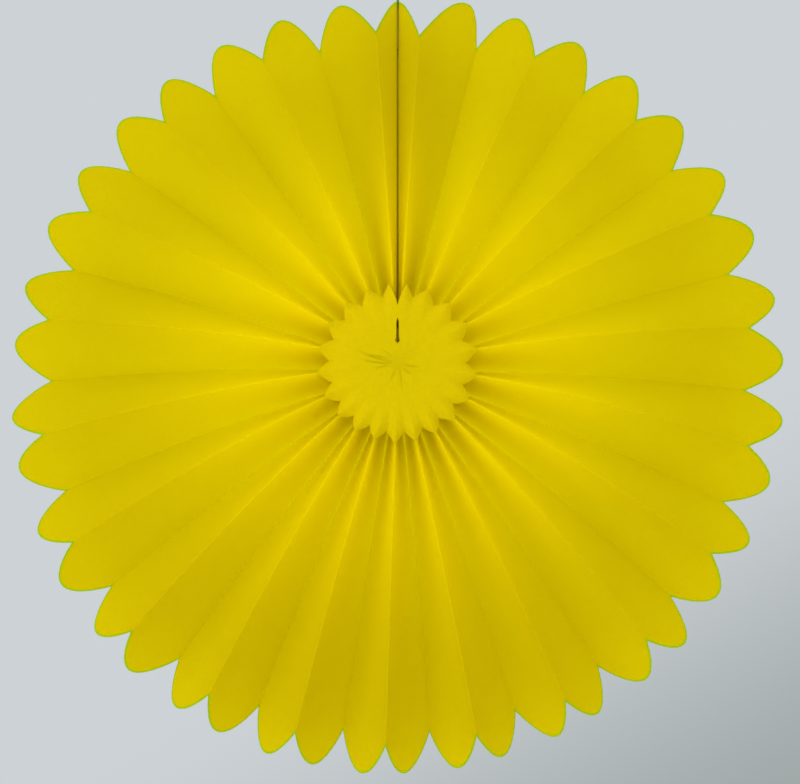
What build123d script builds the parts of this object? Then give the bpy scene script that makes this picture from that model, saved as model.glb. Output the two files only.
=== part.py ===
from build123d import *
from math import atan2, cos, pi, radians, sin, sqrt, tan
import os

# Hanging paper fan rosette: one long pleated strip of doubled tissue, opened into a full circle and
# closed by two stiff cards at the seam, with a star of tissue over its hub and a thread to hang by.
# Millimetres. The fan faces -Y, +Z is up, and the origin is where a hook bears in the hanging loop.

# Fan
fan_radius = 200.0  # from the hub's axis to the tips of the petals
full_panels = 40  # panels between two folds; one more at each end is shared with the seam
rim_depth = 9.5  # from front fold to back fold where the widest panel ends in its petal
petal_height_top = 20.0  # from notch to tip beside the seam
petal_height_bottom = 16.0  # and at the bottom, where the petals curl
tissue = 0.4
hub_radius = 6.0  # inside this the gathered folds are pressed solid
hub_recess = 1.0  # the pressed hub lies this far behind the front folds
fold_blunt = 0.6  # how far a fold's blunt nose stands out, as a share of a sharp one
fold_blunt_most = 0.75  # and at most this many thicknesses

# How the open fan hangs: its folds droop to both sides and crowd together at the bottom
droop_rim = 0.19  # radians at the rim
droop_hub = 0.10  # radians at the hub
bunching = -0.027  # second wave of the same droop, in radians
lean = 0.0155  # the lower folds lean to one side by twice this, in radians
seam_half_angle = radians(3.3)  # from the seam to the first fold, if all were evenly spaced

# Seam: two cards with tape between them, and the strip's two ends glued on their outsides
card_thickness = 0.5
tape_thickness = 0.5
card_recess = 1.0  # the cards' front edges lie this far behind the tissue's
tape_inset = 2.0

# Star over the hub
star_tip_radius = 40.0
star_notch_radius = 34.0
star_seam_radius = 29.0  # its notch at the seam
star_dip = 3.0  # its notches lie this far behind its tips
star_clearance = 0.15  # in front of the fan's folds
slit_start = 10.5
slit_end = 24.0
slit_width = 1.3
slit_eye = 1.0  # radius of the slit's round lower end

# Gathering thread, through every panel at the hub
gather_radius = 3.6
gather_thread_radius = 0.45

# Hanging thread
thread_clearance = 0.05
free_thread = 30.0  # from the seam petal's tip to the knot
knot_length = 4.5
knot_radius = 2.1
knot_round = 1.3
loop_length = 28.0  # from the knot to where a hook bears
loop_half_width = 6.0
loop_bend = 5.0

seam_gap = 2 * card_thickness + tape_thickness
seam_face = seam_gap / 2  # the inner face of each glued end, from the fan's mid-plane
thread_radius = seam_face - thread_clearance
fold_pitch = (2 * pi - 2 * seam_half_angle) / full_panels
last_fold = full_panels
panel_start = 0.65 * hub_radius  # panels begin inside the pressed hub
stations = (0, 0.1, 0.3, 0.5, 0.7, 0.85, 1)  # shares of the way from there to a fold's notch
seam_stations = stations[1:]  # the seam is open beside the hub
petal_root_inset = 0.6 * tissue  # a petal's root keeps inside the folds beside it


def fold_angle(fold, radius):
    """Clockwise from the top, seen from the front; fold 0 is right of the seam, the last is left."""
    even = seam_half_angle + fold * fold_pitch
    droop = droop_hub + (droop_rim - droop_hub) * radius / fan_radius
    return even + droop * sin(even) + bunching * sin(2 * even) + lean * (1 - cos(even))


def petal_height(angle):
    return petal_height_top + (petal_height_bottom - petal_height_top) * (1 - cos(angle)) / 2


def fold_radius(fold, share):
    """How far out a fold is at a share of its way from the pressed hub to its notch."""
    reach = fan_radius - petal_height(fold_angle(fold, fan_radius))
    return panel_start + share * (reach - panel_start)


def radial(angle):
    return Vector(sin(angle), 0, cos(angle))


def fold_point(fold, share):
    """A point of a fold as seen from the front, from the hub."""
    radius = fold_radius(fold, share)
    return radial(fold_angle(fold, radius)) * radius


def panel_chord(panel, share):
    """Straight across a panel, seen from the front."""
    return (fold_point(panel + 1, share) - fold_point(panel, share)).length


widest_chord = max(panel_chord(panel, 1) for panel in range(full_panels))
panel_width = sqrt(widest_chord**2 + rim_depth**2)
end_front_width = panel_width / 2  # an end panel bends at its middle, where its petal's tip is
end_glued_width = panel_width - end_front_width


def panel_depth(panel, share):
    """From the front fold to the back fold; a panel keeps its width while it turns."""
    panel = min(max(panel, 0), full_panels - 1)
    return sqrt(panel_width**2 - panel_chord(panel, share) ** 2)


def fold_y(fold, share):
    """Even folds are the front ones."""
    half = (panel_depth(fold - 1, share) + panel_depth(fold, share)) / 4
    return -half if fold % 2 == 0 else half


def fold_slope(fold, share):
    """The angle of the two panels at a fold, from straight back."""
    inner = min(max(fold, 0), full_panels - 1)
    outer = min(max(fold - 1, 0), full_panels - 1)
    chord = (panel_chord(inner, share) + panel_chord(outer, share)) / 2
    return atan2(chord, 2 * abs(fold_y(fold, share)))


def mitre(slope):
    """How far a sharp fold's edge stands from the middle of the tissue."""
    return tissue / (2 * sin(slope))


def nose(slope):
    return min(fold_blunt * mitre(slope), fold_blunt_most * tissue)


# The thread hangs on the Z axis, just behind the seam's front edge at the rim
seam_rise = sqrt(end_front_width**2 - (fold_point(0, 1).X - seam_face) ** 2)
thread_y = fold_y(0, 1) + seam_rise + tissue + thread_radius
hub_y = -thread_y
hub_z = -(fan_radius + free_thread + knot_length + loop_length)
hub = Vector(0, hub_y, hub_z)
back = Vector(0, 1, 0)


def panel_section(panel, share):
    """The corners across a panel at a station, as (across, back), with both folds' noses."""
    half = panel_chord(panel, share) / 2
    turned = 1 if panel % 2 == 0 else -1
    start = -abs(fold_y(panel, share))
    stop = abs(fold_y(panel + 1, share))
    first = fold_slope(panel, share)
    second = fold_slope(panel + 1, share)
    first_edge = (mitre(first) - nose(first)) * tan(first)
    second_edge = (mitre(second) - nose(second)) * tan(second)
    corners = [
        (-half, start - nose(first)),
        (-half + first_edge, start - nose(first)),
        (half, stop - mitre(second)),
        (half, stop + nose(second)),
        (half - second_edge, stop + nose(second)),
        (-half, start + mitre(first)),
    ]
    return [(across, turned * deep) for across, deep in corners]


def panel_plane(panel, share):
    """Through both of a panel's folds at a station, and straight back."""
    start, stop = fold_point(panel, share), fold_point(panel + 1, share)
    across = stop - start
    return Plane(hub + (start + stop) / 2, x_dir=across, z_dir=across.cross(back))


def panel_solid(panel):
    """A full panel, from inside the pressed hub to the root of its petal."""
    with BuildPart() as leaf:
        for share in stations:
            with BuildSketch(panel_plane(panel, share)):
                Polygon(*panel_section(panel, share), align=None)
        loft(ruled=True)
    return leaf.part


def petal_solid(panel):
    """The free end of a full panel, flat, cut to a parabola and standing on the panel's end."""
    base = panel_plane(panel, 1)
    start, stop = fold_y(panel, 1), fold_y(panel + 1, 1)
    across = base.x_dir * panel_chord(panel, 1) + back * (stop - start)
    root = base.origin + back * (start + stop) / 2
    height = fan_radius - (fold_radius(panel, 1) + fold_radius(panel + 1, 1)) / 2
    half = across.length / 2 - petal_root_inset
    with BuildPart() as petal:
        with BuildSketch(Plane(root, x_dir=across, z_dir=across.cross(base.z_dir))):
            with BuildLine():
                Bezier((-half, 0), (0, 2 * height), (half, 0))
                Line((half, 0), (-half, 0))
            make_face()
        extrude(amount=tissue / 2, both=True)
    return petal.part


def end_fold(side):
    """The last front fold on a side of the seam."""
    return 0 if side > 0 else last_fold


def seam_height(side, share):
    return fold_point(end_fold(side), share).Z


def seam_y(side, share):
    """How far back an end panel meets the seam."""
    run = abs(fold_point(end_fold(side), share).X) - (seam_face + tissue / 2)
    return fold_y(end_fold(side), share) + sqrt(end_front_width**2 - run**2)


def end_section(side, share):
    """The corners of an end panel: slanting back to the seam, then straight back along the card."""
    fold = end_fold(side)
    ridge_x, ridge_y = abs(fold_point(fold, share).X), fold_y(fold, share)
    bend_y = seam_y(side, share)
    slope = atan2(ridge_x - seam_face - tissue / 2, bend_y - ridge_y)
    shift = tissue / 2 / tan(slope) - mitre(slope)
    tip_y = ridge_y - nose(fold_slope(fold, share))
    corners = [
        (ridge_x, tip_y),
        (ridge_x - (mitre(slope) - nose(slope)) * tan(slope), tip_y),
        (seam_face, bend_y + shift),
        (seam_face, bend_y + end_glued_width),
        (seam_face + tissue, bend_y + end_glued_width),
        (seam_face + tissue, bend_y - shift),
        (ridge_x, ridge_y + mitre(fold_slope(fold, share))),
    ]
    return [(side * x, y + hub_y) for x, y in corners]


def end_panel_solid(side):
    with BuildPart() as leaf:
        for share in seam_stations:
            with BuildSketch(Plane.XY.offset(hub_z + seam_height(side, share))):
                Polygon(*end_section(side, share), align=None)
        loft(ruled=True)
    return leaf.part


def seam_petal_front(side):
    """The half petal between an end panel's front fold and the seam, flat."""
    fold = end_fold(side)
    ridge = fold_point(fold, 1)
    across = Vector(side * (seam_face + tissue / 2) - ridge.X, seam_y(side, 1) - fold_y(fold, 1), 0)
    height = fan_radius - ridge.Z
    base = hub + ridge + back * fold_y(fold, 1)
    with BuildPart() as petal:
        with BuildSketch(Plane(base, x_dir=across, z_dir=across.cross(Vector(0, 0, 1)))):
            with BuildLine():
                Bezier((petal_root_inset, 0), (across.length / 2, height), (across.length, height))
                Polyline((across.length, height), (across.length, 0), (petal_root_inset, 0))
            make_face()
        extrude(amount=tissue / 2, both=True)
    return petal.part


def seam_petal_glued(side):
    """The other half, straight back along the seam."""
    front = hub_y + seam_y(side, 1)
    rear = front + end_glued_width
    low, high = hub_z + seam_height(side, 1), hub_z + fan_radius
    with BuildPart() as petal:
        with BuildSketch(Plane.YZ.offset(side * (seam_face + tissue / 2))):
            with BuildLine():
                Bezier((front, high), ((front + rear) / 2, high), (rear, low))
                Polyline((rear, low), (front, low), (front, high))
            make_face()
        extrude(amount=tissue / 2, both=True)
    return petal.part


def star_facet(centre, tip, notch):
    """One flat facet of the star, its back face through three points."""
    return Face(Wire.make_polygon((centre, tip, notch), close=True))


# The fan: one strip, so all its panels, petals and glued ends are one solid
leaves = [panel_solid(panel) for panel in range(full_panels)]
leaves += [petal_solid(panel) for panel in range(full_panels)]
for side in (1, -1):
    leaves += [end_panel_solid(side), seam_petal_front(side), seam_petal_glued(side)]

with BuildPart() as large_fan:
    with BuildSketch(Plane.XZ.offset(panel_width / 2 - hub_y - hub_recess)):
        with Locations((0, hub_z)):
            Circle(hub_radius)
    extrude(amount=hub_recess - panel_width)
    add(leaves)
    with Locations(Location(hub, (90, 0, 0))):
        Torus(gather_radius, gather_thread_radius + thread_clearance, mode=Mode.SUBTRACT)
large_fan.part.label = "large_fan"

with BuildPart() as gather_thread:
    with Locations(Location(hub, (90, 0, 0))):
        Torus(gather_radius, gather_thread_radius)
gather_thread.part.label = "gather_thread"

# The star lies on the front folds near the hub, and its notches dip between them
star_back = -panel_width / 2 - nose(fold_slope(0, 0)) - star_clearance
star_centre = hub + back * star_back
seam_notch = star_centre + radial(0) * star_seam_radius
notch_angles = [fold_angle(fold, star_notch_radius) for fold in range(1, last_fold, 2)]
star_notches = [star_centre + radial(angle) * star_notch_radius + back * star_dip for angle in notch_angles]
tip_angles = [fold_angle(fold, star_notch_radius) for fold in range(2, last_fold, 2)]
tip_angles = [notch_angles[0] / 2] + tip_angles + [pi + notch_angles[-1] / 2]
star_tips = [star_centre + radial(angle) * star_tip_radius for angle in tip_angles]

with BuildPart() as centre_star:
    for before, tip, after in zip([seam_notch] + star_notches, star_tips, star_notches + [seam_notch]):
        extrude(star_facet(star_centre, tip, before), amount=tissue, dir=(0, -1, 0))
        extrude(star_facet(star_centre, tip, after), amount=tissue, dir=(0, -1, 0))
    with BuildSketch(Plane.XZ.offset(-hub_y - star_back + tissue)):
        with Locations((0, hub_z + (slit_start + slit_end) / 2)):
            Rectangle(slit_width, slit_end - slit_start)
        with Locations((0, hub_z + slit_start)):
            Circle(slit_eye)
    extrude(amount=-tissue, mode=Mode.SUBTRACT)
centre_star.part.label = "centre_star"


def seam_outline(side, front_inset, rear_inset, end_inset):
    """A strip along the seam as (y, z), inside the glued end of the tissue."""
    front, rear = [], []
    for share in seam_stations:
        fold = hub_y + seam_y(side, share)
        height = hub_z + seam_height(side, share)
        if share == seam_stations[0]:
            height += end_inset
        if share == seam_stations[-1]:
            height -= end_inset
        front.append((fold + front_inset, height))
        rear.append((fold + end_glued_width - rear_inset, height))
    return front + rear[::-1]


def seam_card(side):
    with BuildPart() as card:
        with BuildSketch(Plane.YZ.offset(side * (tape_thickness + card_thickness) / 2)):
            Polygon(*seam_outline(side, card_recess, 0, 0), align=None)
        extrude(amount=card_thickness / 2, both=True)
    return card.part


end_cards = {"right": seam_card(1), "left": seam_card(-1)}
for name, card in end_cards.items():
    card.label = "end_card_" + name

with BuildPart() as seam_tape:
    with BuildSketch(Plane.YZ):
        Polygon(*seam_outline(1, card_recess + tape_inset, tape_inset, tape_inset), align=None)
    extrude(amount=tape_thickness / 2, both=True)
seam_tape.part.label = "seam_tape"

# The thread stands on the cards' upper ends, between the two halves of the seam's petal
thread_foot = hub_z + max(seam_height(1, 1), seam_height(-1, 1)) + thread_clearance
knot_foot = hub_z + fan_radius + free_thread
knot_top = knot_foot + knot_length
with BuildPart() as hanging_thread:
    with BuildSketch(Plane.XY.offset(thread_foot)):
        Circle(thread_radius)
    extrude(amount=knot_foot - thread_foot)
hanging_thread.part.label = "hanging_thread"

with BuildPart() as hanging_loop:
    with BuildSketch(Plane.XY.offset(knot_foot)):
        Circle(knot_radius)
    extrude(amount=knot_length)
    fillet(edges().filter_by(GeomType.CIRCLE), radius=knot_round)
    with BuildLine(Plane.XZ) as loop_path:
        leg = thread_radius + thread_clearance
        leg_foot = knot_top - knot_round
        crown = thread_radius
        FilletPolyline(
            (-leg, leg_foot),
            (-loop_half_width, crown),
            (loop_half_width, crown),
            (leg, leg_foot),
            radius=loop_bend,
        )
    with BuildSketch(loop_path.line ^ 0):
        Circle(thread_radius)
    sweep(path=loop_path.line)
hanging_loop.part.label = "hanging_loop"

os.makedirs("parts", exist_ok=True)
nodes = [large_fan, centre_star, gather_thread, seam_tape, hanging_thread, hanging_loop]
for part in [node.part for node in nodes] + list(end_cards.values()):
    print(part.label, len(part.solids()), part.is_valid, round(part.volume, 2))
    export_step(part, f"parts/{part.label}.step")
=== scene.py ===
"""Looks for a hanging paper fan rosette: pleated tissue, a star over its hub, and its thread."""
import logging
import math
from dataclasses import dataclass, field
from enum import Enum
from random import Random
from typing import Callable

import bmesh
import bpy
from mathutils import Matrix, Vector, noise


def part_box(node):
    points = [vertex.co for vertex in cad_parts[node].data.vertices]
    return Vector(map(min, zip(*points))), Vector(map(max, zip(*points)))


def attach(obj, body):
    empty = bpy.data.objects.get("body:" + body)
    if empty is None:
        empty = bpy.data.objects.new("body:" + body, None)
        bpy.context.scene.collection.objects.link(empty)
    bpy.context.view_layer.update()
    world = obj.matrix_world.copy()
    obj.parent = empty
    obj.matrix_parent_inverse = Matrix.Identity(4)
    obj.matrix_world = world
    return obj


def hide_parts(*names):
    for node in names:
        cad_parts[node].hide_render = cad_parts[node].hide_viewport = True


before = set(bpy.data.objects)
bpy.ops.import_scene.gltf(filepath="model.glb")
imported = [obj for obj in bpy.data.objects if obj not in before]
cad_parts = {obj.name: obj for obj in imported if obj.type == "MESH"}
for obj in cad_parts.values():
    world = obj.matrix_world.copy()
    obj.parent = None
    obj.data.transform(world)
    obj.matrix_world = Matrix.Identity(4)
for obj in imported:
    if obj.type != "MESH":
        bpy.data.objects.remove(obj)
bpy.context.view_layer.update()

Colour = tuple[float, float, float]

log = logging.getLogger("paper_fan")
BACK = Vector((0.0, 1.0, 0.0))
RIM_SHADE_SPAN = (0.045, 0.19)  # from here to here, outward from the hub, painted shade darkens the tissue towards the rim
EDGE_REACH = 0.01  # how far from the cut edge its nearness falls from 1 to 0
FRINGE = 0.0015  # the width of the pale green line along the cut edge
SAME_FOLD = 1e-3  # rounding allowed on a place along the strip, in panels
STAR_EASE = 0.0002  # how far the star's sheet lies behind the front of the construction's


class Slot(Enum):
    """The record's material slots."""

    FAN = "fan_tissue"
    STAR = "star_tissue"
    CARD = "card"
    TAPE = "tape"
    THREAD = "thread"


# Shader helpers


def colour(value: Colour) -> tuple[float, float, float, float]:
    """Adds a full alpha to a colour."""
    return (*value, 1.0)


def new_material(name: str) -> tuple[bpy.types.Material, bpy.types.ShaderNodeTree]:
    """Makes an empty node material.

    Args:
        name: The material's name.

    Returns:
        The material and its node tree.
    """
    material = bpy.data.materials.new(name)
    material.use_nodes = True
    material.node_tree.nodes.clear()
    return material, material.node_tree


def add_node(tree: bpy.types.NodeTree, kind: str, **values: object) -> bpy.types.Node:
    """Adds a node and sets its inputs or properties by name.

    Args:
        tree: The tree that gets the node.
        kind: The node's type.
        **values: Input values, with underscores for spaces, or properties.

    Returns:
        The new node.
    """
    node = tree.nodes.new(kind)
    for key, value in values.items():
        socket = node.inputs.get(key.replace("_", " "))
        if socket is not None:
            socket.default_value = value
        else:
            setattr(node, key, value)
    return node


def feed(tree: bpy.types.NodeTree, socket: bpy.types.NodeSocket, term: object) -> None:
    """Links a socket to another, or sets it to a plain value.

    Args:
        tree: The tree that holds both.
        socket: The input socket.
        term: An output socket, or a value.
    """
    if isinstance(term, bpy.types.NodeSocket):
        tree.links.new(term, socket)
    else:
        socket.default_value = term


def maths(
    tree: bpy.types.NodeTree, operation: str, *terms: object, clamp: bool = False
) -> bpy.types.NodeSocket:
    """Adds a Math node.

    Args:
        tree: The tree that gets the node.
        operation: What it does.
        *terms: Its inputs in order, sockets or numbers.
        clamp: True to hold the result between 0 and 1.

    Returns:
        The socket with the result.
    """
    node = add_node(tree, "ShaderNodeMath", operation=operation, use_clamp=clamp)
    for socket, term in zip(node.inputs, terms):
        feed(tree, socket, term)
    return node.outputs[0]


def blended(tree: bpy.types.NodeTree, share: object, first: object, second: object) -> bpy.types.NodeSocket:
    """Adds a Mix node for two colours.

    Args:
        tree: The tree that gets the node.
        share: How much of the second colour shows, a socket or a number.
        first: The first colour, or its socket.
        second: The second colour, or its socket.

    Returns:
        The socket with the mixed colour.
    """
    node = add_node(tree, "ShaderNodeMix", data_type="RGBA")
    for index, term in ((0, share), (6, first), (7, second)):
        feed(tree, node.inputs[index], term)
    return node.outputs[2]


def ranged(
    tree: bpy.types.NodeTree,
    value: bpy.types.NodeSocket,
    source: tuple[float, float],
    target: tuple[float, float] = (0.0, 1.0),
    smooth: bool = True,
) -> bpy.types.NodeSocket:
    """Maps a value from one range to another, held at both ends.

    Args:
        tree: The tree that gets the node.
        value: The socket with the value.
        source: The range that it comes from.
        target: The range that it goes to.
        smooth: True to ease in and out.

    Returns:
        The socket with the result.
    """
    kind = "SMOOTHSTEP" if smooth else "LINEAR"
    node = add_node(tree, "ShaderNodeMapRange", interpolation_type=kind)
    node.inputs["From Min"].default_value, node.inputs["From Max"].default_value = source
    node.inputs["To Min"].default_value, node.inputs["To Max"].default_value = target
    tree.links.new(value, node.inputs["Value"])
    return node.outputs[0]


def scaled(
    tree: bpy.types.NodeTree, tint: bpy.types.NodeSocket, amount: bpy.types.NodeSocket
) -> bpy.types.NodeSocket:
    """Multiplies a colour by one number and returns the socket with the result."""
    node = add_node(tree, "ShaderNodeVectorMath", operation="SCALE")
    tree.links.new(tint, node.inputs[0])
    tree.links.new(amount, node.inputs["Scale"])
    return node.outputs[0]


def axes(tree: bpy.types.NodeTree, vector: bpy.types.NodeSocket) -> bpy.types.bpy_prop_collection:
    """Splits a vector and returns its X, Y and Z sockets."""
    apart = add_node(tree, "ShaderNodeSeparateXYZ")
    tree.links.new(vector, apart.inputs[0])
    return apart.outputs


def fringe(tree: bpy.types.NodeTree) -> bpy.types.NodeSocket:
    """Turns the piece's nearness to its cut edge into a narrow band along it.

    Args:
        tree: The tree that gets the nodes.

    Returns:
        The socket with the mask: 1 on the edge, 0 past the band or on a piece with no such edge.
    """
    edge = add_node(tree, "ShaderNodeAttribute", attribute_name="edge")
    return ranged(tree, edge.outputs["Fac"], (1 - FRINGE / EDGE_REACH, 1 - 0.2 * FRINGE / EDGE_REACH))


@dataclass(frozen=True)
class PaperFibre:
    """The paper's pattern: fibres across the strip, clouds of dye, grain, a cut edge, painted shade along folds
    and creases and towards the rim, and a darker star centre.
    """

    fibre_scale: tuple[float, float, float] = (30.0, 110.0, 1.0)
    fibre_share: float = 0.45
    cloud_scale: float = 22.0
    grain_scale: float = 700.0
    contrast: tuple[float, float] = (0.36, 0.64)
    # painted shade along every fold: its reach from the fold, in panels, and its depth at the fold
    fold_reach: tuple[float, float] = (0.004, 0.045)
    painted_fold_shade: float = 0.95
    grain_shade: tuple[float, float] = (0.955, 1.035)
    # per unit of the crease mark: painted shade along the star's creases, and its darker centre
    crease_shade: float = -0.30
    cut_edge: Colour = (0.46, 0.60, 0.01)

    def make(self) -> bpy.types.ShaderNodeTree:
        """Builds the group.

        Returns:
            A group that puts out a base colour and a height.
        """
        group = bpy.data.node_groups.new("paper_fibre", "ShaderNodeTree")
        for name, way, kind in (
            ("Light", "INPUT", "Color"),
            ("Deep", "INPUT", "Color"),
            ("Mottle", "INPUT", "Float"),
            ("Rim", "INPUT", "Color"),
            ("Color", "OUTPUT", "Color"),
            ("Height", "OUTPUT", "Float"),
        ):
            group.interface.new_socket(name, in_out=way, socket_type="NodeSocket" + kind)
        given = add_node(group, "NodeGroupInput").outputs
        out = add_node(group, "NodeGroupOutput")
        flat = add_node(group, "ShaderNodeUVMap", uv_map="strip")
        place = add_node(group, "ShaderNodeTexCoord")
        link = group.links.new

        stretch = add_node(group, "ShaderNodeMapping", Scale=self.fibre_scale)
        link(flat.outputs[0], stretch.inputs["Vector"])
        fibres = add_node(group, "ShaderNodeTexNoise", Scale=1.0, Detail=4.0, Roughness=0.6)
        link(stretch.outputs[0], fibres.inputs["Vector"])
        clouds = add_node(group, "ShaderNodeTexNoise", Scale=self.cloud_scale, Detail=3.0, Roughness=0.55)
        link(place.outputs["Object"], clouds.inputs["Vector"])
        grain = add_node(group, "ShaderNodeTexNoise", Scale=self.grain_scale, Detail=2.0, Roughness=0.6)
        link(place.outputs["Object"], grain.inputs["Vector"])

        cloudy = maths(group, "MULTIPLY", clouds.outputs["Fac"], 1 - self.fibre_share)
        pattern = maths(group, "MULTIPLY_ADD", fibres.outputs["Fac"], self.fibre_share, cloudy)
        spread = ranged(group, pattern, self.contrast, smooth=False)
        amount = maths(group, "MULTIPLY", spread, given["Mottle"], clamp=True)
        dye = blended(group, amount, given["Light"], given["Deep"])

        strip = axes(group, flat.outputs[0])  # X is along the strip in panels, Y outward in metres
        # painted shade: the colour darkens outward from the hub towards the rim, by Rim
        fade = blended(group, ranged(group, strip["Y"], RIM_SHADE_SPAN), colour((1.0, 1.0, 1.0)), given["Rim"])
        rim_shaded = add_node(group, "ShaderNodeVectorMath", operation="MULTIPLY")
        link(dye, rim_shaded.inputs[0])
        link(fade, rim_shaded.inputs[1])

        # painted shade: a little darker close to every fold
        from_fold = maths(group, "PINGPONG", strip["X"], 0.5)
        folded = ranged(group, from_fold, self.fold_reach, (self.painted_fold_shade, 1.0))
        speck = ranged(group, grain.outputs["Fac"], (0.3, 0.7), self.grain_shade, smooth=False)
        level = maths(group, "MULTIPLY", folded, speck)
        # painted shade along the star's creases, and darker towards its centre, from its crease mark
        darkening = add_node(group, "ShaderNodeAttribute", attribute_name="crease")
        creased = maths(group, "MULTIPLY_ADD", darkening.outputs["Fac"], self.crease_shade, 1.0)
        shade = scaled(group, rim_shaded.outputs[0], maths(group, "MULTIPLY", level, creased))
        link(blended(group, fringe(group), shade, colour(self.cut_edge)), out.inputs["Color"])
        link(maths(group, "ADD", fibres.outputs["Fac"], grain.outputs["Fac"]), out.inputs["Height"])
        return group


@dataclass(frozen=True)
class TissueFinish:
    """Dyed tissue paper, which lets a good part of the light through; Mottle scales its dye, and Rim sets its
    painted shade towards the rim.
    """

    name: str
    light: Colour
    deep: Colour
    # painted light: the light through the paper is set bright, as the fan's base colour is, to offset the shade
    # deep in its pleats
    glow: Colour = (0.98, 0.91, 0.0)
    mottle: float = 0.5
    through: float = 0.72
    # painted shade: how dark the tissue and the light through it are at the rim, against near the hub
    rim: Colour = (0.83, 0.78, 1.0)
    cut_edge: Colour = (0.58, 0.74, 0.01)
    roughness: float = 0.82
    shine: float = 0.04
    bump: float = 0.25
    bump_height: float = 0.0003

    def make(self, group: bpy.types.ShaderNodeTree) -> bpy.types.Material:
        """Builds the material.

        Args:
            group: The shared paper group.

        Returns:
            The finished material.
        """
        material, tree = new_material(self.name)
        link = tree.links.new
        paper = add_node(tree, "ShaderNodeGroup", node_tree=group)
        paper.inputs["Light"].default_value = colour(self.light)
        paper.inputs["Deep"].default_value = colour(self.deep)
        paper.inputs["Mottle"].default_value = self.mottle
        paper.inputs["Rim"].default_value = colour(self.rim)
        bump = add_node(tree, "ShaderNodeBump", Strength=self.bump, Distance=self.bump_height)
        link(paper.outputs["Height"], bump.inputs["Height"])
        front = add_node(tree, "ShaderNodeBsdfPrincipled", Roughness=self.roughness)
        front.inputs["Specular IOR Level"].default_value = self.shine
        link(paper.outputs["Color"], front.inputs["Base Color"])
        link(bump.outputs["Normal"], front.inputs["Normal"])
        behind = add_node(tree, "ShaderNodeBsdfTranslucent", Color=colour(self.glow))
        # painted shade towards the rim on the light through the paper too
        if min(self.rim) < 1.0:
            link(self.glow_with_rim_shade(tree), behind.inputs["Color"])
        link(bump.outputs["Normal"], behind.inputs["Normal"])
        mix = add_node(tree, "ShaderNodeMixShader")
        mix.inputs[0].default_value = self.through
        link(front.outputs[0], mix.inputs[1])
        link(behind.outputs[0], mix.inputs[2])
        out = add_node(tree, "ShaderNodeOutputMaterial")
        link(mix.outputs[0], out.inputs["Surface"])
        return material

    def glow_with_rim_shade(self, tree: bpy.types.ShaderNodeTree) -> bpy.types.NodeSocket:
        """Makes the light through the paper weaker towards the rim, as painted shade, and green along its cut
        edge.

        Args:
            tree: The material's node tree.

        Returns:
            The socket with the colour.
        """
        flat = add_node(tree, "ShaderNodeUVMap", uv_map="strip")
        # painted shade: the light through the paper dims outward towards the rim
        outward = ranged(tree, axes(tree, flat.outputs[0])["Y"], RIM_SHADE_SPAN)
        dim = tuple(full * part for full, part in zip(self.glow, self.rim))
        fade = blended(tree, outward, colour(self.glow), colour(dim))
        return blended(tree, fringe(tree), fade, colour(self.cut_edge))


@dataclass(frozen=True)
class GrainFinish:
    """Card or tape: a base colour with a fine darker grain and a little bump."""

    name: str
    base: Colour
    dark: Colour
    grain_scale: tuple[float, float, float]
    grain_range: tuple[float, float] = (0.35, 0.65)
    roughness: float = 0.8
    shine: float = 0.06
    bump: float = 0.3
    bump_height: float = 0.0002

    def make(self) -> bpy.types.Material:
        """Builds the material.

        Returns:
            The finished material.
        """
        material, tree = new_material(self.name)
        link = tree.links.new
        place = add_node(tree, "ShaderNodeTexCoord")
        stretch = add_node(tree, "ShaderNodeMapping", Scale=self.grain_scale)
        link(place.outputs["Object"], stretch.inputs["Vector"])
        grain = add_node(tree, "ShaderNodeTexNoise", Scale=1.0, Detail=3.0)
        link(stretch.outputs[0], grain.inputs["Vector"])
        ramp = add_node(tree, "ShaderNodeValToRGB")
        stops = zip(ramp.color_ramp.elements, self.grain_range, (self.dark, self.base))
        for element, position, tint in stops:
            element.position = position
            element.color = colour(tint)
        link(grain.outputs["Fac"], ramp.inputs["Fac"])
        bump = add_node(tree, "ShaderNodeBump", Strength=self.bump, Distance=self.bump_height)
        link(grain.outputs["Fac"], bump.inputs["Height"])
        shader = add_node(tree, "ShaderNodeBsdfPrincipled", Roughness=self.roughness)
        shader.inputs["Specular IOR Level"].default_value = self.shine
        link(ramp.outputs["Color"], shader.inputs["Base Color"])
        link(bump.outputs["Normal"], shader.inputs["Normal"])
        out = add_node(tree, "ShaderNodeOutputMaterial")
        link(shader.outputs[0], out.inputs["Surface"])
        return material


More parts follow.
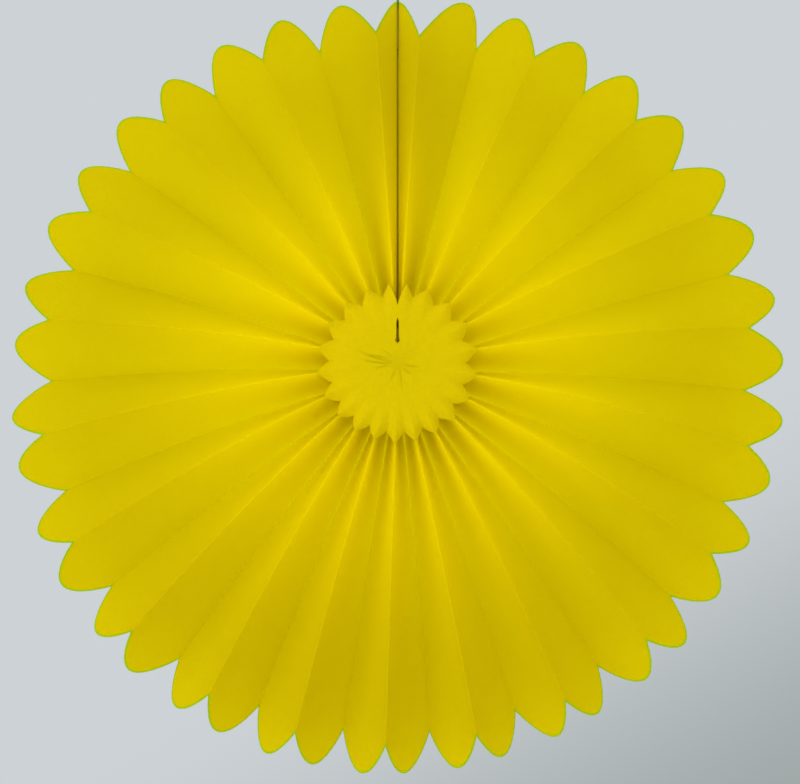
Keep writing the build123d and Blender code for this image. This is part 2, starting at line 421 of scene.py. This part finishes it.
@dataclass(frozen=True)
class ThreadFinish:
    """Green sewing thread of slanted plies, with a painted gold tint below the petal's tip for the yellow light
    bounced onto it in the seam.
    """

    name: str
    green: Colour
    painted_bounce_tint: Colour
    painted_bounce_below: float
    plies: float = 900.0
    slant: float = 0.6
    wobble: float = 1.5
    # painted shade: the share of the colour left in the grooves between the plies
    ply_groove_shade: float = 0.55
    roughness: float = 0.75
    shine: float = 0.2
    bump: float = 0.6
    bump_height: float = 0.0002

    def make(self) -> bpy.types.Material:
        """Builds the material.

        Returns:
            The finished material.
        """
        material, tree = new_material(self.name)
        link = tree.links.new
        place = add_node(tree, "ShaderNodeTexCoord")
        slant = add_node(tree, "ShaderNodeMapping", Rotation=(0.0, self.slant, 0.0))
        link(place.outputs["Object"], slant.inputs["Vector"])
        twist = add_node(
            tree, "ShaderNodeTexWave", bands_direction="Z", Scale=self.plies, Distortion=self.wobble
        )
        link(slant.outputs[0], twist.inputs["Vector"])
        height = axes(tree, place.outputs["Object"])["Z"]
        # painted light: below the petal's tip the green gives way to a gold tint, for the yellow light bounced
        # onto it in the seam
        free = ranged(tree, height, (self.painted_bounce_below - 0.001, self.painted_bounce_below + 0.002))
        dye = blended(tree, free, colour(self.painted_bounce_tint), colour(self.green))
        # painted shade: the thread darker in the grooves between its plies
        groove = ranged(tree, twist.outputs["Fac"], (0.0, 1.0), (self.ply_groove_shade, 1.0), smooth=False)
        bump = add_node(tree, "ShaderNodeBump", Strength=self.bump, Distance=self.bump_height)
        link(twist.outputs["Fac"], bump.inputs["Height"])
        shader = add_node(tree, "ShaderNodeBsdfPrincipled", Roughness=self.roughness)
        shader.inputs["Specular IOR Level"].default_value = self.shine
        link(scaled(tree, dye, groove), shader.inputs["Base Color"])
        link(bump.outputs["Normal"], shader.inputs["Normal"])
        out = add_node(tree, "ShaderNodeOutputMaterial")
        link(shader.outputs[0], out.inputs["Surface"])
        return material


# Mesh helpers


def finish_piece(
    name: str, shape: bmesh.types.BMesh, material: bpy.types.Material, slot: Slot
) -> bpy.types.Object:
    """Turns a bmesh into a piece that rides on the part.

    Args:
        name: The piece's name.
        shape: Its mesh, which is freed.
        material: Its material.
        slot: The record's slot that its finish stands for; not used.

    Returns:
        The new object.
    """
    mesh = bpy.data.meshes.new(name)
    shape.to_mesh(mesh)
    shape.free()
    piece = bpy.data.objects.new(name, mesh)
    bpy.context.scene.collection.objects.link(piece)
    mesh.materials.append(material)
    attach(piece, "root")
    log.info("%s: %d faces", name, len(mesh.polygons))
    return piece


def smooth_inside(shape: bmesh.types.BMesh) -> None:
    """Shades a sheet smooth, with a crisp cut edge all round."""
    for face in shape.faces:
        face.smooth = True
    for edge in shape.edges:
        if edge.is_boundary:
            edge.smooth = False


def thicken(piece: bpy.types.Object, thickness: float) -> None:
    """Gives a sheet its wall with a live Solidify, half to each side."""
    wall = piece.modifiers.new("wall", "SOLIDIFY")
    wall.thickness = thickness
    wall.offset = 0.0
    wall.use_even_offset = False


def radial(angle: float) -> Vector:
    """The direction at an angle clockwise from the top, seen from the front."""
    return Vector((math.sin(angle), 0.0, math.cos(angle)))


def mapped(shape: bmesh.types.BMesh, place: Callable[[float, float], Vector]) -> None:
    """Moves each vertex of a flat grid from (x, y) to its place.

    Args:
        shape: A grid in the XY plane.
        place: Gives the place for the vertex's x and y.
    """
    for vertex in shape.verts:
        vertex.co = place(vertex.co.x, vertex.co.y)


@dataclass
class OpenFan:
    """How the folds of the open fan lie, in metres: as in the construction, its seam eased for the looks."""

    hub: Vector
    radius: float
    panels: int = 40
    rim_depth: float = 0.0095
    petal_top: float = 0.020
    petal_bottom: float = 0.016
    start: float = 0.0039
    droop_rim: float = 0.19
    droop_hub: float = 0.10
    bunching: float = -0.027
    lean: float = 0.0155
    seam_half_angle: float = math.radians(3.3)
    seam_half_gap: float = 0.00080
    petal_half_gap: float = 0.00065
    flange_half_gap: float = 0.00097
    seam_start: float = 0.0260
    seam_lift: float = 0.0037
    seam_closes: float = 0.35
    stretch: float = 0.009
    stretch_toward: float = math.radians(30)
    width: float = field(init=False)

    def __post_init__(self) -> None:
        """Works out the panels' width from the widest one."""
        widest = max(self.chord(panel, self.notch(panel)) for panel in range(self.panels))
        self.width = math.hypot(widest, self.rim_depth)

    def even(self, fold: float) -> float:
        """The angle of a fold if all were evenly spaced."""
        return self.seam_half_angle + fold * (2 * math.pi - 2 * self.seam_half_angle) / self.panels

    def angle(self, fold: float, radius: float) -> float:
        """The angle of a fold, clockwise from the top."""
        even = self.even(fold)
        droop = self.droop_hub + (self.droop_rim - self.droop_hub) * radius / self.radius
        drooped = even + droop * math.sin(even) + self.bunching * math.sin(2 * even)
        return drooped + self.lean * (1 - math.cos(even))

    def notch(self, fold: float) -> float:
        """How far out a fold ends."""
        middle = self.angle(fold, self.radius)
        lower = (1 - math.cos(middle)) / 2
        return self.radius - self.petal_top - (self.petal_bottom - self.petal_top) * lower

    def chord(self, panel: int, radius: float) -> float:
        """Straight across a panel, seen from the front."""
        return 2 * radius * math.sin((self.angle(panel + 1, radius) - self.angle(panel, radius)) / 2)

    def depth(self, panel: int, radius: float) -> float:
        """From a panel's front fold to its back fold."""
        panel = min(max(panel, 0), self.panels - 1)
        return math.sqrt(max(self.width**2 - self.chord(panel, radius) ** 2, 0.0))

    def fold_place(self, fold: int, radius: float) -> Vector:
        """A point of a fold, from the hub; even folds are the front ones."""
        half = (self.depth(fold - 1, radius) + self.depth(fold, radius)) / 4
        point = radial(self.angle(fold, radius)) * radius
        point.y = -half if fold % 2 == 0 else half
        return point

    def seam_place(self, side: int, radius: float, share: float, petal: float) -> Vector:
        """A point of an end panel.

        Args:
            side: 1 to the right of the seam, -1 to its left.
            radius: How far out the point is.
            share: From the front fold (0) over the seam (0.5) to the glued edge (1).
            petal: How far the two glued parts close behind the thread, from 0 to 1.

        Returns:
            The point, from the hub.
        """
        ridge = self.fold_place(0 if side > 0 else self.panels, radius)
        half = self.width / 2
        run = abs(ridge.x) - self.seam_half_gap
        bend = Vector((side * self.seam_half_gap, ridge.y + math.sqrt(half**2 - run**2), ridge.z))
        if share <= 0.5:
            return ridge.lerp(bend, share * 2)
        back = share * 2 - 1
        closing = 1.0 if radius < self.seam_start else petal
        front_gap = self.seam_half_gap + (self.petal_half_gap - self.seam_half_gap) * petal
        apart = self.flange_half_gap if back > 0 else front_gap
        bend.x = side * apart * (1 - closing * min(back / self.seam_closes, 1.0))
        return bend + BACK * back * half

    def spread(self, angle: float) -> float:
        """How much further out the paper lies at an angle, as it has been pulled open unevenly."""
        return 1 + self.stretch * math.cos(2 * (angle - self.stretch_toward))


@dataclass
class PleatedFan:
    """The large fan: one strip of tissue, folded from a flat grid."""

    fan: OpenFan
    material: bpy.types.Material
    columns: int = 14
    rows: int = 34
    petal_rows: int = 8
    thickness: float = 0.00032
    seed: int = 7
    first_skew: float = 2.4
    first_fullness: float = 2.5
    first_rise: float = 1.15
    first_drop: float = 0.0028
    seam_fullness: float = 1.35
    fullness: float = 2.0
    skew_range: tuple[float, float] = (0.82, 1.22)
    belly: float = 0.0011
    curl: float = 0.0016
    ripple: float = 0.0007
    seam_closing: float = 8.0  # the seam's halves close within this fraction of its petal

    def build(self) -> bpy.types.Object:
        """Folds the strip and lays it in the frame.

        Returns:
            The fan's object.
        """
        fan = self.fan
        draw = Random(self.seed)
        panels = fan.panels + 2
        bulges = [draw.uniform(-1.0, 1.0) for _ in range(panels)]
        curls = [draw.uniform(-1.0, 1.0) for _ in range(panels)]
        skews = [draw.uniform(*self.skew_range) for _ in range(panels)]
        skews[0] = skews[-1] = 1.0
        skews[1] = self.first_skew
        shape = bmesh.new()
        strip = shape.loops.layers.uv.new("strip")
        segments = panels * self.columns
        total_rows = self.rows + self.petal_rows
        bmesh.ops.create_grid(shape, x_segments=segments, y_segments=total_rows, size=0.5)
        for vertex in shape.verts:
            vertex.co.x = (vertex.co.x + 0.5) * panels
            vertex.co.y = (vertex.co.y + 0.5) * total_rows
        for face in shape.faces:
            for loop in face.loops:
                along = loop.vert.co.y / self.rows * fan.radius
                loop[strip].uv = (loop.vert.co.x, along)
        for edge in shape.edges:
            first, second = edge.verts
            along_fold = abs(first.co.x - second.co.x) < SAME_FOLD
            edge.smooth = not (along_fold and abs(first.co.x - round(first.co.x)) < SAME_FOLD)
        edge_mark = shape.verts.layers.float.new("edge")
        for vertex in shape.verts:
            vertex[edge_mark] = 1 - self.from_edge(vertex.co.x, vertex.co.y, skews) / EDGE_REACH
        mapped(shape, lambda x, y: self.place(x, y, bulges, curls, skews))
        bmesh.ops.remove_doubles(shape, verts=shape.verts, dist=1e-6)
        bmesh.ops.recalc_face_normals(shape, faces=shape.faces)
        smooth_inside(shape)
        piece = finish_piece("pleated_fan", shape, self.material, Slot.FAN)
        thicken(piece, self.thickness)
        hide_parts("large_fan")
        return piece

    def panel_at(self, x: float) -> int:
        """The panel at a place along the strip, with a little room for rounding."""
        return min(int(x + 1e-4), self.fan.panels + 1)

    def notch(self, x: float) -> float:
        """How far out the petals begin at a place along the strip."""
        index = self.panel_at(x)
        return self.fan.notch(index - 0.5) - self.first_drop * max(1 - 2 * abs(x - 1), 0.0)

    def rise(self, x: float, skews: list[float]) -> float:
        """How high a petal stands over its notches.

        Args:
            x: The place along the strip, in panels.
            skews: How far each petal's tip lies to one side; 1 is its middle.

        Returns:
            The height in metres.
        """
        fan = self.fan
        index = self.panel_at(x)
        share = min(max(x - index, 0.0), 1.0)
        arch = share / (share + skews[index] * (1 - share))
        whole = fan.radius - self.notch(x)
        fullness = self.fullness
        if index in (0, fan.panels + 1):
            whole += fan.seam_lift
            fullness = self.seam_fullness
        elif index == 1:
            whole *= self.first_rise
            fullness = self.first_fullness
        return whole * (1 - abs(2 * arch - 1) ** fullness)

    def from_edge(self, x: float, y: float, skews: list[float]) -> float:
        """How far a point of the strip is from its cut edge.

        Args:
            x: The place along the strip, in panels.
            y: The place from the hub to the rim, in rows.
            skews: How far each petal's tip lies to one side.

        Returns:
            The distance in metres, square to the edge.
        """
        height = self.rise(x, skews)
        step = 0.5 / self.columns
        index = self.panel_at(x)
        inward = -step if x - index > 0.5 else step
        slope = (self.rise(x + inward, skews) - height) / (abs(inward) * self.fan.width)
        body = max(self.rows - y, 0.0) / self.rows * self.notch(x)
        petal = max(y - self.rows, 0.0) / self.petal_rows
        return (body + height * (1 - petal)) / math.hypot(1.0, slope)

    def place(
        self, x: float, y: float, bulges: list[float], curls: list[float], skews: list[float]
    ) -> Vector:
        """Where a point of the flat strip lies in the open fan.

        Args:
            x: The place along the strip, in panels.
            y: The place from the hub to the rim, in rows.
            bulges: How far each panel bellies out.
            curls: How far each petal curls.
            skews: How far each petal's tip lies to one side; 1 is its middle.

        Returns:
            The point in the part's frame.
        """
        fan = self.fan
        index = self.panel_at(x)
        share = min(max(x - index, 0.0), 1.0)
        notch = self.notch(x)
        petal = max(y - self.rows, 0.0) / self.petal_rows
        radius = fan.start + min(y / self.rows, 1.0) * (notch - fan.start)
        if index in (0, fan.panels + 1):
            side, from_ridge = (1, 1.0 - share) if index == 0 else (-1, share)
            point = fan.seam_place(side, radius, from_ridge, min(petal * self.seam_closing, 1.0))
            out = radial(0.0)
        else:
            first = fan.fold_place(index - 1, radius)
            second = fan.fold_place(index, radius)
            point = first.lerp(second, share)
            across = (second - first).normalized()
            middle = (fan.angle(index - 1, radius) + fan.angle(index, radius)) / 2
            out = radial(middle)
            face = out.cross(across)
            reach = radius / fan.radius
            arch = math.sin(math.pi * share)
            belly = bulges[index] * self.belly * reach
            curl = curls[index] * self.curl * petal * petal
            ripple = noise.noise(Vector((index * 3.1, share * 1.7, reach * 6.0))) * self.ripple * reach
            point += face * (belly + curl + ripple) * arch
        height = self.rise(x, skews)
        point += out * height * petal
        wide = fan.spread(math.atan2(point.x, point.z))
        return fan.hub + Vector((point.x * wide, point.y, point.z * wide))


@dataclass
class PressedHub:
    """The middle of the fan, where the folds are pressed into one solid knot of paper."""

    fan: OpenFan
    material: bpy.types.Material
    radius: float = 0.006
    groove: float = 0.00035
    depth_share: float = 0.97
    rounding: float = 0.0012
    plain_share: float = 0.5

    def build(self) -> bpy.types.Object:
        """Makes the knot as a short grooved cylinder with rounded rims.

        Returns:
            The hub's object.
        """
        fan = self.fan
        shape = bmesh.new()
        strip = shape.loops.layers.uv.new("strip")
        sides = fan.panels * 2
        half = fan.width / 2 * self.depth_share
        bmesh.ops.create_cone(
            shape, cap_ends=True, segments=sides, radius1=self.radius, radius2=self.radius, depth=2 * half
        )
        rims = [edge for edge in shape.edges if abs(edge.verts[0].co.z - edge.verts[1].co.z) < 1e-7]
        bmesh.ops.bevel(
            shape, geom=rims, offset=self.rounding, segments=3, profile=0.5, affect="EDGES", material=-1
        )
        for vertex in shape.verts:
            turn = math.atan2(vertex.co.y, vertex.co.x)
            beyond = math.hypot(vertex.co.x, vertex.co.y)
            if beyond > self.plain_share * self.radius:
                inward = 1 - self.groove / beyond * (1 + math.cos(fan.panels * turn)) / 2
                vertex.co.x *= inward
                vertex.co.y *= inward
        for face in shape.faces:
            face.smooth = len(face.verts) == 4
            for loop in face.loops:
                turn = math.atan2(loop.vert.co.y, loop.vert.co.x)
                loop[strip].uv = (turn / (2 * math.pi) * fan.panels, loop.vert.co.z)
        bmesh.ops.rotate(
            shape, verts=shape.verts, cent=(0.0, 0.0, 0.0), matrix=Matrix.Rotation(math.pi / 2, 3, "X")
        )
        bmesh.ops.translate(shape, verts=shape.verts, vec=fan.hub)
        piece = finish_piece("pressed_hub", shape, self.material, Slot.FAN)
        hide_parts("large_fan")
        return piece


@dataclass
class CentreStar:
    """The star of tissue over the hub, laid out flat and dented between the front folds."""

    fan: OpenFan
    material: bpy.types.Material
    front: float
    tip: float = 0.040
    notch: float = 0.034
    seam_notch: float = 0.029
    dip: float = 0.003
    slit: tuple[float, float] = (0.0112, 0.0225)
    slit_half: float = 0.00065
    eye: float = 0.0011
    slit_spread: float = 0.5
    slit_taper: float = 0.002
    point_power: float = 0.85
    dip_power: float = 7.0
    wave: float = 0.0003
    crease_half: float = 0.0005
    crease_depth: float = 0.00022
    # how much darker the star is towards its centre, and over what radius
    darkening: float = 0.25
    centre_dark_radius: float = 0.006
    rows: int = 80
    columns: int = 10
    thickness: float = 0.0003
    creases: tuple[tuple[float, float, float, float, float], ...] = (
        (262.0, 14.0, 0.002, 0.019, 1.0),
        (276.0, 12.0, 0.002, 0.022, 0.9),
        (291.0, -8.0, 0.004, 0.016, 0.8),
        (250.0, 6.0, 0.003, 0.013, 0.6),
        (318.0, -10.0, 0.003, 0.011, 0.5),
        (112.0, -12.0, 0.002, 0.012, 0.7),
        (138.0, -8.0, 0.003, 0.010, 0.6),
        (162.0, 10.0, 0.002, 0.014, 0.6),
        (196.0, 8.0, 0.003, 0.012, 0.5),
    )

    def build(self) -> bpy.types.Object:
        """Makes the star.

        Returns:
            The star's object.
        """
        notches = [self.fan.angle(fold, self.notch) for fold in range(1, self.fan.panels, 2)]
        folds = [0.0, *notches, 2 * math.pi]
        petals = len(folds) - 1
        shape = bmesh.new()
        strip = shape.loops.layers.uv.new("strip")
        bmesh.ops.create_grid(shape, x_segments=petals * self.columns, y_segments=self.rows, size=0.5)
        for vertex in shape.verts:
            vertex.co.x = (vertex.co.x + 0.5) * petals
            vertex.co.y = vertex.co.y + 0.5
        for face in shape.faces:
            for loop in face.loops:
                loop[strip].uv = (0.3 + 0.4 * loop.vert.co.x / petals, loop.vert.co.y * self.tip)
        mapped(shape, lambda x, y: self.place(x, y, folds))
        self.crumple(shape)
        bmesh.ops.remove_doubles(shape, verts=shape.verts, dist=2e-6)
        bmesh.ops.recalc_face_normals(shape, faces=shape.faces)
        smooth_inside(shape)
        piece = finish_piece("star_sheet", shape, self.material, Slot.STAR)
        thicken(piece, self.thickness)
        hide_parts("centre_star")
        return piece

    def crumple(self, shape: bmesh.types.BMesh) -> None:
        """Presses short curved creases into the star and marks them, for painted shade along each crease and a
        darker centre.

        Args:
            shape: The star's mesh, in place.
        """
        crease = shape.verts.layers.float.new("crease")
        for vertex in shape.verts:
            flat = vertex.co - self.fan.hub
            radius = math.hypot(flat.x, flat.z)
            turn = math.degrees(math.atan2(flat.x, flat.z)) % 360
            depth = 0.0
            for start, bend, inner, outer, strength in self.creases:
                if inner < radius < outer:
                    share = (radius - inner) / (outer - inner)
                    away = math.radians(turn - start - bend * share) * radius
                    across = math.exp(-((away / self.crease_half) ** 2))
                    depth += strength * math.sin(math.pi * share) * across
            # the crease mark: painted shade along each crease, plus darker towards the centre
            centre_darkening = self.darkening * math.exp(-((radius / self.centre_dark_radius) ** 2))
            vertex[crease] = min(depth + centre_darkening, 1.0)
            vertex.co.y += self.crease_depth * depth

    def slit_width(self, radius: float) -> float:
        """Half the width of the slit at a radius."""
        start, stop = self.slit
        if start - self.eye < radius < start + self.eye:
            return max(math.sqrt(self.eye**2 - (radius - start) ** 2), self.slit_half)
        if start <= radius <= stop:
            fade = min((stop - radius) / self.slit_taper, 1.0)
            return self.slit_half * fade
        return 0.0

    def place(self, x: float, y: float, folds: list[float]) -> Vector:
        """Where a point of the star's flat grid lies.

        Args:
            x: The place around the star, in petals.
            y: The place from the centre (0) to the edge (1).
            folds: The angles of the notches.

        Returns:
            The point in the part's frame.
        """
        index = min(int(x + 1e-6), len(folds) - 2)
        share = min(max(x - index, 0.0), 1.0)
        at_seam = (index == 0 and share < 0.5) or (index == len(folds) - 2 and share > 0.5)
        inner = self.seam_notch if at_seam else self.notch
        point_share = 1 - abs(2 * share - 1)
        edge = inner + (self.tip - inner) * point_share**self.point_power
        radius = y * edge
        angle = folds[index] + (folds[index + 1] - folds[index]) * share
        point = radial(angle) * radius
        hollow = 0.0 if at_seam else (1 - point_share) * self.dip * (radius / self.notch) ** self.dip_power
        swell = noise.noise(Vector((math.cos(angle) * 3.0, math.sin(angle) * 3.0, radius * 90.0)))
        point.y = -self.front + hollow + abs(swell) * self.wave * min(radius / 0.01, 1.0)
        from_seam = min(x, len(folds) - 1 - x)
        side = 1.0 if index == 0 else -1.0
        point.x += side * self.slit_width(radius) * max(1 - from_seam / self.slit_spread, 0.0)
        return self.fan.hub + point


@dataclass
class HangingThread:
    """The taut thread between the seam's petal and its knot."""

    material: bpy.types.Material
    diameter: float = 0.0014
    foot: float = 0.003
    step_forward: float = 0.0008

    def build(self) -> bpy.types.Object:
        """Returns:
            The thread's object.
        """
        low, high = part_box("hanging_thread")
        middle = (Vector(low) + Vector(high)) / 2
        foot = Vector((middle.x, middle.y - self.step_forward, low[2] - self.foot))
        route = [
            foot,
            Vector((middle.x, middle.y - self.step_forward * 0.8, low[2] + 0.001)),
            Vector((middle.x, middle.y, low[2] + (high[2] - low[2]) * 0.35)),
            Vector((middle.x, middle.y, low[2] + (high[2] - low[2]) * 0.7)),
            Vector((middle.x, middle.y, high[2])),
        ]
        curve = bpy.data.curves.new("taut_thread", "CURVE")
        curve.dimensions = "3D"
        curve.bevel_depth = self.diameter / 2
        curve.bevel_resolution = 4
        curve.resolution_u = 8
        curve.use_fill_caps = True
        line = curve.splines.new("NURBS")
        line.points.add(len(route) - 1)
        for point, place in zip(line.points, route):
            point.co = (*place, 1.0)
        line.order_u = 3
        line.use_endpoint_u = True
        piece = bpy.data.objects.new("taut_thread", curve)
        bpy.context.scene.collection.objects.link(piece)
        curve.materials.append(self.material)
        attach(piece, "root")
        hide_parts("hanging_thread")
        return piece


@dataclass
class Studio:
    """The camera, the plain room and its soft light."""

    hub: Vector
    fan_radius: float
    distance: float = 2.35
    tilt: float = math.radians(7.0)
    lens: float = 41.2
    sensor: float = 36.0
    aim_from_hub: tuple[float, float, float] = (0.0012, 0.0, -0.0128)
    behind: float = 1.20
    below: float = 0.86
    bend: float = 0.25
    half_width: float = 4.0
    floor: float = 3.0
    profile: float = 6.0
    pale: Colour = (0.61, 0.645, 0.67)
    shaded: Colour = (0.34, 0.38, 0.38)

    def camera(self) -> None:
        """Puts the camera a little below the hub, looking up at the fan."""
        data = bpy.data.cameras.new("camera")
        data.lens = self.lens
        data.sensor_width = self.sensor
        data.sensor_fit = "HORIZONTAL"
        camera = bpy.data.objects.new("camera", data)
        bpy.context.scene.collection.objects.link(camera)
        far = self.distance * self.fan_radius
        aim = self.hub + Vector(self.aim_from_hub)
        camera.location = aim + Vector((0.0, -far * math.cos(self.tilt), -far * math.sin(self.tilt)))
        camera.rotation_euler = (aim - camera.location).to_track_quat("-Z", "Y").to_euler()
        bpy.context.scene.camera = camera

    def room(self) -> None:
        """Makes the pale floor and the wall behind, joined by a soft bend."""
        shape = bmesh.new()
        bmesh.ops.create_grid(shape, x_segments=1, y_segments=40, size=1.0)
        for vertex in shape.verts:
            along = (vertex.co.y + 1.0) / 2 * self.profile
            vertex.co.x *= self.half_width
            vertex.co.y, vertex.co.z = self.sweep(along)
        bmesh.ops.translate(shape, verts=shape.verts, vec=self.hub - Vector((0.0, 0.0, self.below)))
        for face in shape.faces:
            face.smooth = True
        mesh = bpy.data.meshes.new("room")
        shape.to_mesh(mesh)
        shape.free()
        room = bpy.data.objects.new("room", mesh)
        bpy.context.scene.collection.objects.link(room)
        mesh.materials.append(self.wall())

    def sweep(self, along: float) -> tuple[float, float]:
        """A point of the room's profile.

        Args:
            along: Distance along the profile, from the floor's front edge.

        Returns:
            The place back and up.
        """
        behind, bend = self.behind, self.bend
        past = along - self.floor
        arc = bend * math.pi / 2
        if past < 0:
            return past + behind - bend, 0.0
        if past < arc:
            turn = past / bend
            return behind - bend + bend * math.sin(turn), bend - bend * math.cos(turn)
        return behind, bend + past - arc

    def wall(self) -> bpy.types.Material:
        """The room's pale grey, shown at its own colour to the camera, with painted shade: darker low down on
        the wall.
        """
        material, tree = new_material("pale_room")
        link = tree.links.new
        place = add_node(tree, "ShaderNodeTexCoord")
        spot = axes(tree, place.outputs["Object"])
        # painted shade: the wall darker low down and towards the right; the floor stays pale
        height = maths(tree, "MULTIPLY_ADD", spot["X"], -0.55, spot["Z"])
        high = ranged(tree, height, (-1.32, -0.46))
        floor = ranged(tree, spot["Y"], (0.6, 1.1), (1.0, 0.0))
        brighter = maths(tree, "MAXIMUM", high, floor)
        seen = blended(tree, brighter, colour(self.shaded), colour(self.pale))
        soft = add_node(tree, "ShaderNodeBsdfPrincipled", Roughness=0.9)
        soft.inputs["Base Color"].default_value = (0.86, 0.87, 0.88, 1.0)
        glow = add_node(tree, "ShaderNodeEmission", Strength=1.0)
        link(seen, glow.inputs["Color"])
        ray = add_node(tree, "ShaderNodeLightPath")
        blend = add_node(tree, "ShaderNodeMixShader")
        link(ray.outputs["Is Camera Ray"], blend.inputs[0])
        link(soft.outputs[0], blend.inputs[1])
        link(glow.outputs[0], blend.inputs[2])
        out = add_node(tree, "ShaderNodeOutputMaterial")
        link(blend.outputs[0], out.inputs["Surface"])
        return material

    def lamp(self, name: str, offset: tuple[float, float, float], size: float, power: float) -> None:
        """Adds a soft square lamp that faces the hub.

        Args:
            name: The lamp's name.
            offset: Its place from the hub.
            size: The length of its side.
            power: Its power in watts.
        """
        data = bpy.data.lights.new(name, "AREA")
        data.size = size
        data.energy = power
        lamp = bpy.data.objects.new(name, data)
        bpy.context.scene.collection.objects.link(lamp)
        lamp.location = self.hub + Vector(offset)
        lamp.rotation_euler = (self.hub - lamp.location).to_track_quat("-Z", "Y").to_euler()
        lamp.visible_camera = False

    def plain_sky(self, tree: bpy.types.ShaderNodeTree) -> None:
        """Shows the camera the room's own pale grey where it looks past the room.

        Args:
            tree: The world's node tree.
        """
        link = tree.links.new
        seen = add_node(tree, "ShaderNodeBackground", Color=colour(self.pale), Strength=1.0)
        ray = add_node(tree, "ShaderNodeLightPath")
        blend = add_node(tree, "ShaderNodeMixShader")
        link(ray.outputs["Is Camera Ray"], blend.inputs[0])
        link(tree.nodes["Background"].outputs[0], blend.inputs[1])
        link(seen.outputs[0], blend.inputs[2])
        link(blend.outputs[0], tree.nodes["World Output"].inputs["Surface"])

    def light(self) -> None:
        """Lights the fan softly from above and from low on the left, both a little from the front."""
        self.lamp("top_lamp", (-0.25, -0.50, 1.15), 0.8, 2.4)
        self.lamp("left_lamp", (-0.50, -0.38, -0.32), 0.45, 1.2)
        world = bpy.data.worlds.new("room_light")
        bpy.context.scene.world = world
        world.use_nodes = True
        sky = world.node_tree.nodes["Background"]
        sky.inputs["Color"].default_value = (0.92, 0.96, 1.0, 1.0)
        sky.inputs["Strength"].default_value = 1.15
        self.plain_sky(world.node_tree)


def dress(node: str, material: bpy.types.Material) -> None:
    """Gives a piece of the construction its material."""
    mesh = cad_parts[node].data
    mesh.materials.clear()
    mesh.materials.append(material)


def main() -> None:
    """Builds every piece in order."""
    logging.basicConfig(level=logging.INFO, format="%(message)s")
    bpy.context.scene.view_settings.view_transform = "Standard"
    low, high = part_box("gather_thread")
    hub = (Vector(low) + Vector(high)) / 2
    fan_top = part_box("large_fan")[1][2]
    fan = OpenFan(hub=hub, radius=fan_top - hub.z)
    studio = Studio(hub=hub, fan_radius=fan.radius)
    studio.camera()

    # the thread's second colour is its painted gold tint from light bounced off the yellow seam
    thread = ThreadFinish("thread_twist", (0.16, 0.26, 0.006), (0.40, 0.32, 0.006), painted_bounce_below=fan_top)
    card = GrainFinish("dyed_card", (0.60, 0.50, 0.005), (0.52, 0.42, 0.005), grain_scale=(500.0, 500.0, 120.0))
    # painted shade: the tape's dark olive stands in for the shade in the narrow seam where its edge shows
    tape = GrainFinish("paper_tape", (0.50, 0.41, 0.01), (0.42, 0.33, 0.01), grain_scale=(700.0, 700.0, 700.0))
    thread_material = thread.make()
    card_material = card.make()
    HangingThread(thread_material).build()
    for node, material in {
        "hanging_loop": thread_material,
        "gather_thread": thread_material,
        "end_card_left": card_material,
        "end_card_right": card_material,
        "seam_tape": tape.make(),
    }.items():
        dress(node, material)

    group = PaperFibre().make()
    # painted light: the fan's tissue is brighter than the paper's own yellow to offset the shade deep in its
    # pleats, while the flat star, lit full on, keeps a darker yellow
    fan_tissue = TissueFinish("fan_tissue", (0.96, 0.86, 0.0), (0.92, 0.80, 0.0))
    star_tissue = TissueFinish(
        "star_tissue",
        light=(0.86, 0.665, 0.0),
        deep=(0.81, 0.62, 0.0),
        glow=(0.88, 0.78, 0.0),
        through=0.4,
        rim=(1.0, 1.0, 1.0),
    )
    fan_material = fan_tissue.make(group)
    PleatedFan(fan, fan_material).build()
    PressedHub(fan, fan_material).build()
    star_front = hub.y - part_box("centre_star")[0][1] - STAR_EASE
    CentreStar(fan, star_tissue.make(group), front=star_front).build()
    studio.room()
    studio.light()
    log.info("boxes written")


if __name__ == "__main__":
    main()
